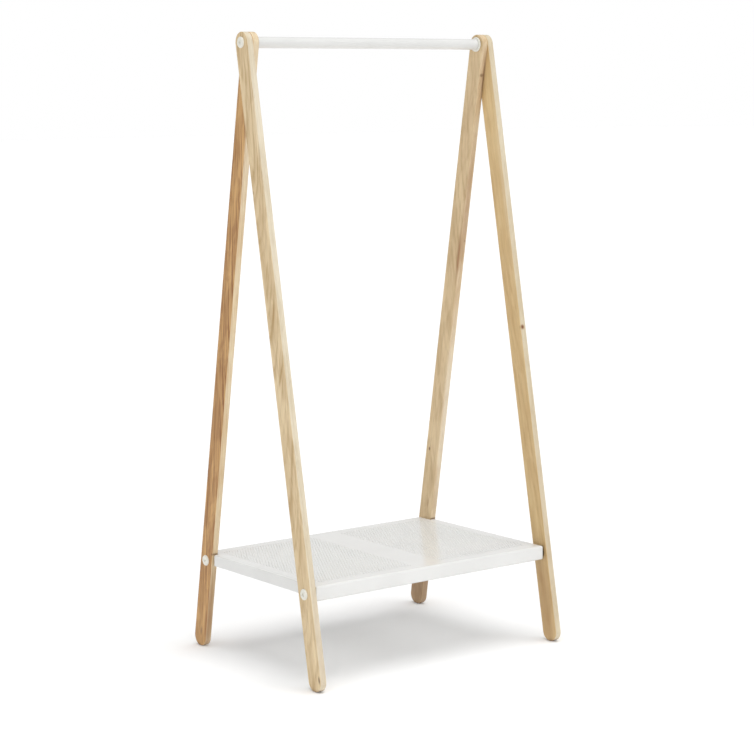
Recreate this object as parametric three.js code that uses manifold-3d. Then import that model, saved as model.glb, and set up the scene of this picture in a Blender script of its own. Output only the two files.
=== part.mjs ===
// Clothes rack: two leaning ash A-frames joined by a steel hanging rail at the top
// and by a folded sheet-steel shelf near the floor.
//
// Units are millimetres. +Z is up, +X runs along the hanging rail (the rack's right, seen from
// its front) and +Y points to the rear. The origin is on the floor, under the middle of the rack.

import * as THREE from 'three';
import { mergeVertices } from 'three/addons/utils/BufferGeometryUtils.js';
import Module from 'manifold-3d';

const wasm = await Module();
wasm.setup();

// ---------------------------------------------------------------- driving dimensions

const RACK_HEIGHT = 1600;        // floor to the top of the rounded leg ends
const FRAME_WIDTH = 784;         // over the outer faces of the front legs
const FIT_GAP = 0.3;             // clearance left between pieces that touch

const LEG_THICKNESS = 18;
const LEG_WIDTH = 52;
const LEG_EDGE_RADIUS = 2.5;     // eased edges
const FOOT_SPREAD = 274.5;       // centre of a rounded foot, in front of or behind the middle

const RAIL_DIAMETER = 28;
const RAIL_WALL = 1.5;
const RAIL_INSERT_LENGTH = 30;
const COLLAR_DIAMETER = 38;
const COLLAR_THICKNESS = 4;
const COLLAR_EDGE_RADIUS = 1.2;

const SHELF_HEIGHT = 256;        // top of the sheet above the floor
const SHELF_LENGTH = 736;
const SHELF_DEPTH = 508;
const SHELF_LIP = 38;            // height of the folded-down front and rear walls
const SHELF_END_LIP = 30;        // the end walls and the walls of the corner cut-outs are lower
const SHEET_THICKNESS = 1.5;
const SHEET_BEND_RADIUS = 5;     // outside radius of the folds
const RETURN_FLANGE_WIDTH = 12;  // second fold of the front and rear walls
const RETURN_FLANGE_INSET = 9;   // the return flanges stop short of the cut-outs
const SCREW_DROP = 19;           // shelf screws below the top of the sheet
const NOTCH_CLEARANCE = 1.5;     // between the corner cut-outs and the leaning rear legs

const RIB_WIDTH = 60;            // hat channel under the plain middle strip
const RIB_CROWN_WIDTH = 30;
const RIB_DEPTH = 16;
const RIB_SHEET = 1.2;

const RAIL_BOLT_DIAMETER = 8;
const RAIL_BOLT_LENGTH = 65;
const RAIL_BOLT_SOCKET = 6;      // across the flats of the hexagon socket
const SHELF_SCREW_DIAMETER = 6;
const SHELF_SCREW_SOCKET = 5;
const FRONT_SCREW_LENGTH = 32;
const REAR_SCREW_LENGTH = 27;
const SCREW_HEAD_DIAMETER = 28;
const SCREW_HEAD_HEIGHT = 4.6;
const SCREW_HEAD_RIM = 1.6;      // height of the straight rim below the dome
const SCREW_HEAD_FLAT = 0.68;    // flat middle of the dome, as a share of the head's radius
const SCREW_TIP_CHAMFER = 1;
const SOCKET_DEPTH = 3;
const BORE_CLEARANCE = 0.3;      // radial, around every shank

const NUT_ACROSS_FLATS = 10;
const NUT_HEIGHT = 5;
const SPACER_DIAMETER = 30;
const GLIDE_DIAMETER = 15;
const GLIDE_THICKNESS = 1.2;

const ROUND_SEGMENTS = 20;       // facets around a small turned piece
const END_SEGMENTS = 14;         // facets around the rounded end of a leg

// ---------------------------------------------------------------- places worked out from them

const PIVOT_HEIGHT = RACK_HEIGHT - LEG_WIDTH / 2;
const FOOT_CENTRE_HEIGHT = LEG_WIDTH / 2;
const LEG_SPAN = Math.hypot(FOOT_SPREAD, PIVOT_HEIGHT - FOOT_CENTRE_HEIGHT);
const LEG_LEAN = Math.atan2(FOOT_SPREAD, PIVOT_HEIGHT - FOOT_CENTRE_HEIGHT);

const FRONT_LEG_OUTER = FRAME_WIDTH / 2;
const FRONT_LEG_INNER = FRONT_LEG_OUTER - LEG_THICKNESS;
const REAR_LEG_OUTER = FRONT_LEG_INNER - FIT_GAP;
const REAR_LEG_INNER = REAR_LEG_OUTER - LEG_THICKNESS;

const COLLAR_OUTER = REAR_LEG_INNER - FIT_GAP;
const RAIL_END = COLLAR_OUTER - COLLAR_THICKNESS - FIT_GAP;

const SHELF_END = SHELF_LENGTH / 2;
const SHELF_EDGE = SHELF_DEPTH / 2;
const SHELF_BOTTOM = SHELF_HEIGHT - SHELF_LIP;
const NOTCH_WALL = REAR_LEG_INNER - FIT_GAP;
const SHELF_END_BOTTOM = SHELF_HEIGHT - SHELF_END_LIP;
const SCREW_HEIGHT = SHELF_HEIGHT - SCREW_DROP;

const GLIDE_FLAT_HEIGHT = GLIDE_THICKNESS + FIT_GAP;

// Distance of a leg's centre line from the middle plane at a height above the floor.
function legOffsetAt(height) {
  return (PIVOT_HEIGHT - height) * Math.tan(LEG_LEAN);
}

const SCREW_OFFSET = legOffsetAt(SCREW_HEIGHT);
const NOTCH_FRONT = legOffsetAt(SHELF_HEIGHT) - LEG_WIDTH / 2 / Math.cos(LEG_LEAN) - NOTCH_CLEARANCE;

// ---------------------------------------------------------------- materials

function paint(colour, roughness, metalness = 0) {
  return new THREE.MeshStandardMaterial({ color: colour, roughness, metalness });
}

const materials = {
  creamAsh: paint(0xd9bb8a, 0.6),
  warmAsh: paint(0xc99a62, 0.6),
  goldenAsh: paint(0xcfa873, 0.6),
  whitePowderCoat: paint(0xf0f0ee, 0.3),
  zincSteel: paint(0x9c9fa3, 0.4, 1),
  darkRubber: paint(0x2c2a28, 0.8),
  glidePlastic: paint(0x4a4038, 0.7),
};

// ---------------------------------------------------------------- solids

const ALONG_X = new THREE.Matrix4().makeBasis(
  new THREE.Vector3(0, 1, 0),
  new THREE.Vector3(0, 0, 1),
  new THREE.Vector3(1, 0, 0),
);

// A closed three.js geometry as a manifold solid.
function solidOf(geometry) {
  const bare = geometry.clone();
  bare.deleteAttribute('normal');
  bare.deleteAttribute('uv');
  const merged = mergeVertices(bare, 1e-4);
  return new wasm.Manifold(new wasm.Mesh({
    numProp: 3,
    vertProperties: new Float32Array(merged.attributes.position.array),
    triVerts: new Uint32Array(merged.index.array),
  }));
}

// A manifold solid as a three.js geometry.
function geometryOf(solid) {
  const mesh = solid.getMesh();
  const geometry = new THREE.BufferGeometry();
  geometry.setAttribute('position', new THREE.BufferAttribute(mesh.vertProperties, 3));
  geometry.setIndex(new THREE.BufferAttribute(mesh.triVerts, 1));
  geometry.computeVertexNormals();
  return geometry;
}

// A solid with every one of the cutting geometries taken away from it, as a three.js geometry.
function carve(solid, cutters) {
  return geometryOf(cutters.reduce((left, cutter) => left.subtract(solidOf(cutter)), solid));
}

// A box between two opposite corners.
function boxBetween(low, high) {
  const size = high.map((value, axis) => value - low[axis]);
  const centre = high.map((value, axis) => (value + low[axis]) / 2);
  return new THREE.BoxGeometry(...size).translate(...centre);
}

// A cylinder or prism along X, from one x to another.
function barAlongX(diameter, fromX, toX, segments = ROUND_SEGMENTS) {
  return new THREE.CylinderGeometry(diameter / 2, diameter / 2, Math.abs(toX - fromX), segments)
    .rotateZ(Math.PI / 2)
    .translate((fromX + toX) / 2, 0, 0);
}

// A hexagonal prism along X, measured across its flats.
function hexagonAlongX(acrossFlats, fromX, toX) {
  return barAlongX(acrossFlats / Math.cos(Math.PI / 6), fromX, toX, 6);
}

// A ring or disc turned about X: the profile holds [x, radius] points and closes on itself.
function turnedAboutX(profile, segments = ROUND_SEGMENTS) {
  const points = profile.map(([x, radius]) => new THREE.Vector2(radius, x));
  return new THREE.LatheGeometry(points, segments).rotateZ(-Math.PI / 2);
}

// A ring about X with a square section.
function ringAboutX(outerDiameter, innerDiameter, fromX, toX) {
  const [outer, inner] = [outerDiameter / 2, innerDiameter / 2];
  return turnedAboutX([[fromX, inner], [fromX, outer], [toX, outer], [toX, inner], [fromX, inner]]);
}

function boreOf(diameter) {
  return diameter + 2 * BORE_CLEARANCE;
}

// ---------------------------------------------------------------- legs

// Outline of a leg in its own plane, with the pivot at the origin and the foot below it.
function legOutline() {
  const radius = LEG_WIDTH / 2;
  const outline = new THREE.Shape();
  outline.absarc(0, 0, radius, 0, Math.PI, false);
  outline.absarc(0, -LEG_SPAN, radius, Math.PI, 2 * Math.PI, false);
  return outline;
}

// A leg standing in the plane of its side frame: lean is positive for a rear leg. Its holes and
// the small flat for its glide are cut where the other pieces are, in the frame's own directions.
function legGeometry(lean) {
  const plank = new THREE.ExtrudeGeometry(legOutline(), {
    depth: LEG_THICKNESS - 2 * LEG_EDGE_RADIUS,
    bevelThickness: LEG_EDGE_RADIUS,
    bevelSize: LEG_EDGE_RADIUS,
    bevelOffset: -LEG_EDGE_RADIUS,
    bevelSegments: 2,
    curveSegments: END_SEGMENTS,
  });
  plank.translate(0, 0, LEG_EDGE_RADIUS - LEG_THICKNESS / 2).applyMatrix4(ALONG_X);

  const reach = LEG_THICKNESS;
  const pivotHole = barAlongX(boreOf(RAIL_BOLT_DIAMETER), -reach, reach);
  const screwHole = barAlongX(boreOf(SHELF_SCREW_DIAMETER), -reach, reach)
    .translate(0, 0, -(PIVOT_HEIGHT - SCREW_HEIGHT) / Math.cos(LEG_LEAN));
  const belowGlideFlat = boxBetween([-reach, -LEG_WIDTH, -LEG_WIDTH], [reach, LEG_WIDTH, GLIDE_FLAT_HEIGHT])
    .translate(0, 0, -FOOT_CENTRE_HEIGHT)
    .rotateX(-lean)
    .translate(0, 0, -LEG_SPAN);
  return carve(solidOf(plank), [pivotHole, screwHole, belowGlideFlat]);
}

// ---------------------------------------------------------------- rail and its fittings

function railGeometry() {
  return ringAboutX(RAIL_DIAMETER, RAIL_DIAMETER - 2 * RAIL_WALL, -RAIL_END, RAIL_END);
}

function railInsertGeometry() {
  const outer = RAIL_DIAMETER - 2 * RAIL_WALL - 2 * FIT_GAP;
  return ringAboutX(outer, boreOf(RAIL_BOLT_DIAMETER), RAIL_END - RAIL_INSERT_LENGTH, RAIL_END);
}

function collarGeometry() {
  const bore = boreOf(RAIL_BOLT_DIAMETER) / 2;
  const radius = COLLAR_DIAMETER / 2;
  const inner = COLLAR_OUTER - COLLAR_THICKNESS;
  return turnedAboutX([
    [inner, bore],
    [inner, radius - COLLAR_EDGE_RADIUS],
    [inner + COLLAR_EDGE_RADIUS, radius],
    [COLLAR_OUTER, radius],
    [COLLAR_OUTER, bore],
    [inner, bore],
  ]);
}

// A round-headed socket screw along X: its head stands out from headX and its shank runs inwards.
function screwGeometry(headX, diameter, length, socket) {
  const domeSteps = 4;
  const headRadius = SCREW_HEAD_DIAMETER / 2;
  const domeHeight = SCREW_HEAD_HEIGHT - SCREW_HEAD_RIM;
  const profile = [
    [headX - length, 0],
    [headX - length, diameter / 2 - SCREW_TIP_CHAMFER],
    [headX - length + SCREW_TIP_CHAMFER, diameter / 2],
    [headX, diameter / 2],
    [headX, headRadius],
  ];
  for (let step = 0; step <= domeSteps; step += 1) {
    const angle = (step / domeSteps) * Math.PI / 2;
    const x = headX + SCREW_HEAD_RIM + domeHeight * Math.sin(angle);
    profile.push([x, headRadius * (SCREW_HEAD_FLAT + (1 - SCREW_HEAD_FLAT) * Math.cos(angle))]);
  }
  const top = headX + SCREW_HEAD_HEIGHT;
  profile.push([top, 0]);
  const hexagon = hexagonAlongX(socket, top - SOCKET_DEPTH, top + SOCKET_DEPTH);
  return carve(solidOf(turnedAboutX(profile)), [hexagon]);
}

// ---------------------------------------------------------------- shelf

// A rectangle with rounded corners, centred across the first axis.
function roundedSection(halfWidth, low, high, radius) {
  const section = new THREE.Shape();
  section.absarc(halfWidth - radius, high - radius, radius, 0, Math.PI / 2, false);
  section.absarc(-halfWidth + radius, high - radius, radius, Math.PI / 2, Math.PI, false);
  section.absarc(-halfWidth + radius, low + radius, radius, Math.PI, 1.5 * Math.PI, false);
  section.absarc(halfWidth - radius, low + radius, radius, 1.5 * Math.PI, 2 * Math.PI, false);
  return section;
}

// The shelf's block, shrunk by an inset on every face: rounded along all four long edges and
// along the upper edges of both ends, with the two rear corners cut out for the rear legs.
function shelfBlock(inset) {
  const end = SHELF_END - inset;
  const edge = SHELF_EDGE - inset;
  const [low, high] = [SHELF_BOTTOM + inset, SHELF_HEIGHT - inset];
  const options = { bevelEnabled: false, curveSegments: 4 };
  const radius = SHEET_BEND_RADIUS - inset;

  const lengthwise = new THREE.ExtrudeGeometry(
    roundedSection(edge, low, high, radius),
    { ...options, depth: 2 * end },
  );
  lengthwise.translate(0, 0, -end).applyMatrix4(ALONG_X);

  const crosswise = new THREE.ExtrudeGeometry(
    roundedSection(end, low - SHELF_LIP, high, radius),
    { ...options, depth: 2 * edge },
  );
  crosswise.translate(0, 0, -edge).rotateX(Math.PI / 2);

  const block = solidOf(lengthwise).intersect(solidOf(crosswise));
  return [-1, 1].reduce((solid, side) => {
    const inner = side * (NOTCH_WALL - inset);
    const outer = side * SHELF_LENGTH;
    const notch = boxBetween(
      [Math.min(inner, outer), NOTCH_FRONT - inset, 0],
      [Math.max(inner, outer), SHELF_DEPTH, 2 * SHELF_HEIGHT],
    );
    return solid.subtract(solidOf(notch));
  }, block);
}

// The tray: the block hollowed to one sheet thickness and opened below. The front and rear walls
// keep a return flange along their foot, the end walls are cut lower, and each corner is drilled
// for its screw.
function trayGeometry() {
  const insideEdge = SHELF_EDGE - SHEET_THICKNESS;
  const flangeEdge = SHELF_EDGE - RETURN_FLANGE_WIDTH;
  const flangeEnd = NOTCH_WALL - SHEET_THICKNESS - RETURN_FLANGE_INSET;
  const below = SHELF_BOTTOM - SHEET_THICKNESS;
  const screwReach = LEG_WIDTH / 4;

  const openings = [
    boxBetween([-SHELF_LENGTH, -flangeEdge, below], [SHELF_LENGTH, flangeEdge, SHELF_END_BOTTOM]),
  ];
  for (const side of [-1, 1]) {
    const [nearX, farX] = [side * flangeEnd, side * SHELF_LENGTH].sort((a, b) => a - b);
    openings.push(boxBetween([nearX, -insideEdge, below], [farX, insideEdge, SHELF_END_BOTTOM]));
    for (const [wall, offset] of [[SHELF_END, -SCREW_OFFSET], [NOTCH_WALL, SCREW_OFFSET]]) {
      const screwHole = barAlongX(boreOf(SHELF_SCREW_DIAMETER), -screwReach, screwReach);
      openings.push(screwHole.translate(side * wall, offset, SCREW_HEIGHT));
    }
  }
  return carve(shelfBlock(0).subtract(shelfBlock(SHEET_THICKNESS)), openings);
}

// A hat channel that runs from the front wall to the rear wall under the sheet.
function ribGeometry() {
  const top = SHELF_HEIGHT - SHEET_THICKNESS - FIT_GAP;
  const half = RIB_WIDTH / 2;
  const crown = RIB_CROWN_WIDTH / 2;
  const hat = new THREE.Shape();
  hat.moveTo(-half, 0);
  hat.lineTo(-half, -RIB_SHEET);
  hat.lineTo(-crown, -RIB_SHEET);
  hat.lineTo(-crown, -RIB_DEPTH);
  hat.lineTo(crown, -RIB_DEPTH);
  hat.lineTo(crown, -RIB_SHEET);
  hat.lineTo(half, -RIB_SHEET);
  hat.lineTo(half, 0);
  hat.lineTo(crown - RIB_SHEET, 0);
  hat.lineTo(crown - RIB_SHEET, -RIB_DEPTH + RIB_SHEET);
  hat.lineTo(-crown + RIB_SHEET, -RIB_DEPTH + RIB_SHEET);
  hat.lineTo(-crown + RIB_SHEET, 0);
  hat.closePath();
  const length = 2 * (SHELF_EDGE - SHEET_BEND_RADIUS - FIT_GAP);
  return new THREE.ExtrudeGeometry(hat, { depth: length, bevelEnabled: false })
    .translate(0, 0, -length / 2)
    .rotateX(Math.PI / 2)
    .translate(0, 0, top);
}

function nutGeometry(wallX) {
  const outer = wallX - SHEET_THICKNESS - FIT_GAP;
  const body = hexagonAlongX(NUT_ACROSS_FLATS, outer - NUT_HEIGHT, outer);
  const bore = barAlongX(boreOf(SHELF_SCREW_DIAMETER), outer - 2 * NUT_HEIGHT, outer + NUT_HEIGHT);
  return carve(solidOf(body), [bore]);
}

function spacerGeometry() {
  return ringAboutX(
    SPACER_DIAMETER,
    boreOf(SHELF_SCREW_DIAMETER),
    SHELF_END + FIT_GAP,
    FRONT_LEG_INNER - FIT_GAP,
  );
}

function glideGeometry() {
  return new THREE.CylinderGeometry(GLIDE_DIAMETER / 2, GLIDE_DIAMETER / 2, GLIDE_THICKNESS, ROUND_SEGMENTS)
    .rotateX(Math.PI / 2)
    .translate(0, 0, GLIDE_THICKNESS / 2);
}

// ---------------------------------------------------------------- assembly

const rack = new THREE.Group();

// Adds a named piece to a group, at a place inside it.
function add(group, name, geometry, material, place = [0, 0, 0]) {
  const mesh = new THREE.Mesh(geometry, material);
  mesh.name = name;
  mesh.position.set(...place);
  group.add(mesh);
  return mesh;
}

// Adds a piece whose geometry is placed along X for the right side. Each such piece is the same
// front and rear, so on the left side it is turned half a turn about the vertical.
function addSided(group, side, name, geometry, material, place) {
  const mesh = add(group, `${side}_${name}`, geometry, material, place);
  mesh.rotation.z = side === 'left' ? Math.PI : 0;
}

const legMaterials = {
  left_front: materials.creamAsh,
  left_rear: materials.warmAsh,
  right_front: materials.goldenAsh,
  right_rear: materials.goldenAsh,
};

for (const side of ['left', 'right']) {
  const sign = side === 'right' ? 1 : -1;
  const frame = new THREE.Group();
  rack.add(frame);

  const legs = [
    { end: 'front', direction: -1, inner: FRONT_LEG_INNER, wall: SHELF_END, length: FRONT_SCREW_LENGTH },
    { end: 'rear', direction: 1, inner: REAR_LEG_INNER, wall: NOTCH_WALL, length: REAR_SCREW_LENGTH },
  ];
  for (const { end, direction, inner, wall, length } of legs) {
    const legMiddle = sign * (inner + LEG_THICKNESS / 2);
    const lean = direction * LEG_LEAN;
    const legPlace = [legMiddle, 0, PIVOT_HEIGHT];
    const legMaterial = legMaterials[`${side}_${end}`];
    const leg = add(frame, `${side}_${end}_leg`, legGeometry(lean), legMaterial, legPlace);
    leg.rotation.x = lean;

    const glidePlace = [legMiddle, direction * FOOT_SPREAD, 0];
    add(frame, `${side}_${end}_glide`, glideGeometry(), materials.glidePlastic, glidePlace);

    const headX = inner + LEG_THICKNESS + FIT_GAP;
    const screw = screwGeometry(headX, SHELF_SCREW_DIAMETER, length, SHELF_SCREW_SOCKET);
    const screwPlace = [0, direction * SCREW_OFFSET, SCREW_HEIGHT];
    addSided(frame, side, `${end}_shelf_screw`, screw, materials.whitePowderCoat, screwPlace);
    addSided(frame, side, `${end}_shelf_nut`, nutGeometry(wall), materials.zincSteel, screwPlace);
  }

  const spacerPlace = [0, -SCREW_OFFSET, SCREW_HEIGHT];
  addSided(frame, side, 'shelf_spacer', spacerGeometry(), materials.darkRubber, spacerPlace);

  const pivot = [0, 0, PIVOT_HEIGHT];
  const boltHeadX = FRONT_LEG_OUTER + FIT_GAP;
  const bolt = screwGeometry(boltHeadX, RAIL_BOLT_DIAMETER, RAIL_BOLT_LENGTH, RAIL_BOLT_SOCKET);
  addSided(frame, side, 'rail_bolt', bolt, materials.whitePowderCoat, pivot);
  addSided(frame, side, 'rail_collar', collarGeometry(), materials.whitePowderCoat, pivot);
  addSided(frame, side, 'rail_insert', railInsertGeometry(), materials.zincSteel, pivot);
}

add(rack, 'hanging_rail', railGeometry(), materials.whitePowderCoat, [0, 0, PIVOT_HEIGHT]);
add(rack, 'shelf_tray', trayGeometry(), materials.whitePowderCoat);
add(rack, 'shelf_rib', ribGeometry(), materials.whitePowderCoat);

export default rack;
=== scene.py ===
"""Looks of the clothes rack: four ash legs, a white hanging rail and a perforated white shelf."""
import math

import bmesh
import bpy
from mathutils import Matrix, Vector


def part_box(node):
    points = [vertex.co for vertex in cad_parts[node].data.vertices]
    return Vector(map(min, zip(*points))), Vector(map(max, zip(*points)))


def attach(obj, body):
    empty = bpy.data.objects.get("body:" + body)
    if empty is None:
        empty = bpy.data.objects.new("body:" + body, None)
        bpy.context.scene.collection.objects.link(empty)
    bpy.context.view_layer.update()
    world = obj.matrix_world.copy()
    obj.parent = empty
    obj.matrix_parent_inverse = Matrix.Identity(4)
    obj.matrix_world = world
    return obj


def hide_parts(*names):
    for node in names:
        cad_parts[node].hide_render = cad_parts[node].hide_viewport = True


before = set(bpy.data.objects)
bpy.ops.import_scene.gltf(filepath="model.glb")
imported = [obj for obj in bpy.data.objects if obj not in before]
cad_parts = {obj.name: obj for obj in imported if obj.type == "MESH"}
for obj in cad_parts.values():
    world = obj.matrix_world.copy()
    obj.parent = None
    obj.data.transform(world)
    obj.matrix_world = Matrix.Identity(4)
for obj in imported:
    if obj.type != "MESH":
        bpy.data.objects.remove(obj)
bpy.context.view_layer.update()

# ---------------------------------------------------------------- sizes, as in the CAD part, in mm

MM = 0.001
WELD = 0.0004  # corners nearer than this become one
RACK_HEIGHT = 1600
LEG_WIDTH = 52
LEG_THICKNESS = 18
LEG_EDGE_RADIUS = 1.8
FOOT_SPREAD = 274.5  # centre of a rounded foot, in front of or behind the middle
FIT_GAP = 0.3  # clearance left between pieces that touch
NOTCH_CLEARANCE = 1.5  # between the corner cut-outs and the leaning rear legs
SHEET = 1.5
BEND = 5.0  # outside radius of the folds
SHELF_TOP = 256.0
SHELF_END = 368.0  # half of the shelf's length
SHELF_EDGE = 254.0  # half of its depth
SHELF_BOTTOM = 218.0
SHELF_END_BOTTOM = 226.0  # the end walls are lower than the front and rear walls
SCREW_HEIGHT = 237.0
GLIDE_FLAT_HEIGHT = 1.5  # the feet are cut flat here, over the glides

PIVOT_HEIGHT = RACK_HEIGHT - LEG_WIDTH / 2
LEG_SPAN = math.hypot(FOOT_SPREAD, PIVOT_HEIGHT - LEG_WIDTH / 2)
LEG_LEAN = math.atan2(FOOT_SPREAD, PIVOT_HEIGHT - LEG_WIDTH / 2)
FRONT_LEG_OUTER = 392.0
REAR_LEG_OUTER = FRONT_LEG_OUTER - LEG_THICKNESS - FIT_GAP
REAR_LEG_INNER = REAR_LEG_OUTER - LEG_THICKNESS
NOTCH_WALL = REAR_LEG_INNER - FIT_GAP
COLLAR_OUTER = NOTCH_WALL
COLLAR_THICKNESS = 4.0
RAIL_END = COLLAR_OUTER - COLLAR_THICKNESS - FIT_GAP


def leg_offset_at(height):
    return (PIVOT_HEIGHT - height) * math.tan(LEG_LEAN)


SCREW_OFFSET = leg_offset_at(SCREW_HEIGHT)
NOTCH_FRONT = leg_offset_at(SHELF_TOP) - LEG_WIDTH / 2 / math.cos(LEG_LEAN) - NOTCH_CLEARANCE


def leg_matrix(side, end):
    """Where a leg's own directions lie in the rack: Z up along it, the origin at the top pivot."""
    lean = LEG_LEAN if end == "rear" else -LEG_LEAN
    outer = FRONT_LEG_OUTER if end == "front" else REAR_LEG_OUTER
    middle = (outer - LEG_THICKNESS / 2) * (1 if side == "right" else -1)
    return Matrix.Translation((middle * MM, 0, PIVOT_HEIGHT * MM)) @ Matrix.Rotation(lean, 4, "X")


# ---------------------------------------------------------------- node helpers


class Tree:
    """Short calls for building a material's nodes."""

    def __init__(self, material):
        material.use_nodes = True
        self.tree = material.node_tree
        self.tree.nodes.clear()

    def node(self, kind, settings=None, **inputs):
        node = self.tree.nodes.new(kind)
        for key, value in (settings or {}).items():
            setattr(node, key, value)
        for key, value in inputs.items():
            self.set(node.inputs[key.replace("_", " ")], value)
        return node

    def set(self, socket, value):
        if isinstance(value, bpy.types.NodeSocket):
            self.tree.links.new(value, socket)
        else:
            socket.default_value = value

    def math(self, operation, *values, clamp=False):
        node = self.tree.nodes.new("ShaderNodeMath")
        node.operation = operation
        node.use_clamp = clamp
        for socket, value in zip(node.inputs, values):
            self.set(socket, value)
        return node.outputs[0]

    def vector(self, operation, *values):
        node = self.tree.nodes.new("ShaderNodeVectorMath")
        node.operation = operation
        for socket, value in zip(node.inputs, values):
            self.set(socket, value)
        return node.outputs["Value" if operation == "LENGTH" else "Vector"]

    def scale(self, vector, factors):
        return self.vector("MULTIPLY", vector, factors)

    def noise(self, vector, scale, detail=2.0, roughness=0.5, distortion=0.0):
        return self.node(
            "ShaderNodeTexNoise",
            Vector=vector,
            Scale=scale,
            Detail=detail,
            Roughness=roughness,
            Distortion=distortion,
        )

    def grey_noise(self, vector, stretch, detail=2.0, roughness=0.5, distortion=0.0):
        """Noise as a number, with its own scale in X, Y and Z per metre."""
        noise = self.noise(self.scale(vector, stretch), 1.0, detail, roughness, distortion)
        return noise.outputs["Fac"]

    def between(self, value, low, high, to_low=0.0, to_high=1.0):
        """A value from one range to another, smoothly and clamped."""
        node = self.node("ShaderNodeMapRange", {"interpolation_type": "SMOOTHSTEP"})
        for key, number in (
            ("Value", value),
            ("From Min", low),
            ("From Max", high),
            ("To Min", to_low),
            ("To Max", to_high),
        ):
            self.set(node.inputs[key], number)
        return node.outputs["Result"]

    def mix(self, factor, first, second, blend="MIX"):
        node = self.tree.nodes.new("ShaderNodeMix")
        node.data_type = "RGBA"
        node.blend_type = blend
        node.clamp_factor = True
        self.set(node.inputs[0], factor)
        self.set(node.inputs[6], first)
        self.set(node.inputs[7], second)
        return node.outputs[2]

    def grey_ramp(self, factor, stops):
        node = self.tree.nodes.new("ShaderNodeValToRGB")
        elements = node.color_ramp.elements
        while len(elements) < len(stops):
            elements.new(0.5)
        for element, (position, value) in zip(elements, stops):
            element.position = position
            element.color = (value, value, value, 1.0)
        self.set(node.inputs[0], factor)
        return node.outputs["Color"]

    def finish(self, colour, roughness, height, bump_strength, bump_distance, metallic=0.0):
        """Ends a material in a surface with this colour, roughness and bumps as high as height."""
        bump = self.node("ShaderNodeBump", Strength=bump_strength, Distance=bump_distance, Height=height)
        shader = self.node(
            "ShaderNodeBsdfPrincipled",
            Base_Color=colour,
            Metallic=metallic,
            Roughness=roughness,
            Normal=bump.outputs[0],
        )
        self.output(shader)

    def output(self, shader):
        out = self.tree.nodes.new("ShaderNodeOutputMaterial")
        self.tree.links.new(shader.outputs[0], out.inputs["Surface"])


def rgb(red, green, blue):
    """A colour given as it looks on a screen, 0 to 255, as the linear colour of a socket."""

    def linear(value):
        value /= 255
        return value / 12.92 if value <= 0.04045 else ((value + 0.055) / 1.055) ** 2.4

    return (linear(red), linear(green), linear(blue), 1.0)


# ---------------------------------------------------------------- wood

UMBER = rgb(120, 70, 28)
OCHRE = rgb(176, 140, 84)
BROWN = rgb(150, 98, 52)
BARK = rgb(104, 66, 38)
RUSSET = rgb(150, 90, 30)
SHADE = rgb(62, 38, 20)
CREAM = rgb(243, 234, 214)

GRAIN_WAVES = (
    # how often a wave comes per metre in X, Y and Z, and how far it pushes the grain in m
    ((5.0, 5.0, 1.1), 0.020),
    ((26.0, 26.0, 9.0), 0.0026),
    ((90.0, 90.0, 30.0), 0.0007),
)
RING_TONES = [(0.0, 0.9), (0.06, 1.0), (0.16, 0.75), (0.42, 0.14), (0.80, 0.0), (1.0, 0.85)]


def leg_place(t, leg, coords):
    """The place in a leg's own directions, in m."""
    matrix = leg_matrix(*leg)
    own = t.node(
        "ShaderNodeMapping",
        {"vector_type": "TEXTURE"},
        Vector=coords.outputs["Object"],
        Location=matrix.translation,
        Rotation=matrix.to_euler(),
    )
    return own.outputs[0]


def bend_grain(t, own, place):
    """A leg's own place, pushed aside by slow and by fine waves."""
    bent = own
    for stretch, sway in GRAIN_WAVES:
        wave = t.noise(t.scale(place, stretch), 1.0, 1.0).outputs["Color"]
        push = t.vector("SUBTRACT", wave, (0.5, 0.5, 0.5))
        bent = t.vector("ADD", bent, t.scale(push, (sway, sway, 0.0)))
    return bent


def growth_rings(t, bent, place, pith, tilt, ring_mm):
    """How far a place is in the dark, porous line of its ring. No two years are alike."""
    axis = t.node(
        "ShaderNodeMapping",
        Vector=bent,
        Location=(-pith[0] * MM, -pith[1] * MM, 0.0),
        Rotation=(-tilt[1], tilt[0], 0.0),
    )
    radius = t.vector("LENGTH", t.scale(axis.outputs[0], (1.0, 1.0, 0.0)))
    age = t.math("MULTIPLY", radius, 1.0 / (ring_mm * MM))
    spell = t.node("ShaderNodeCombineXYZ", X=t.math("MULTIPLY", age, 0.37))
    growth = t.noise(spell.outputs[0], 1.0, 0.0).outputs["Fac"]
    age = t.math("ADD", age, t.math("MULTIPLY", growth, 2.4))
    ring = t.grey_ramp(t.math("FRACT", age), RING_TONES)
    year = t.node("ShaderNodeCombineXYZ", X=t.math("FLOOR", age))
    strength = t.noise(year.outputs[0], 1.7, 0.0).outputs["Fac"]
    ring = t.math("MULTIPLY", ring, t.between(strength, 0.35, 0.65, 0.35, 1.0))
    depth = t.grey_noise(place, (30.0, 30.0, 7.0), 2.0, 0.6)
    return t.math("MULTIPLY", ring, t.between(depth, 0.35, 0.62, 0.35, 1.0))


def add_marks(t, colour, bent, marks):
    """Knots, streaks and painted shade: soft ellipsoids in the wood, each with its own colour."""
    for centre, half_sizes, slant, mark_colour, strength in marks:
        offset = t.vector("SUBTRACT", bent, tuple(c * MM for c in centre))
        across = t.node("ShaderNodeVectorRotate", {"rotation_type": "X_AXIS"}, Vector=offset, Angle=slant)
        spread = t.scale(across.outputs[0], tuple(1.0 / (h * MM) for h in half_sizes))
        core = t.between(t.vector("LENGTH", spread), 0.2, 1.0, strength, 0.0)
        colour = t.mix(core, colour, mark_colour)
    return colour


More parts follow.
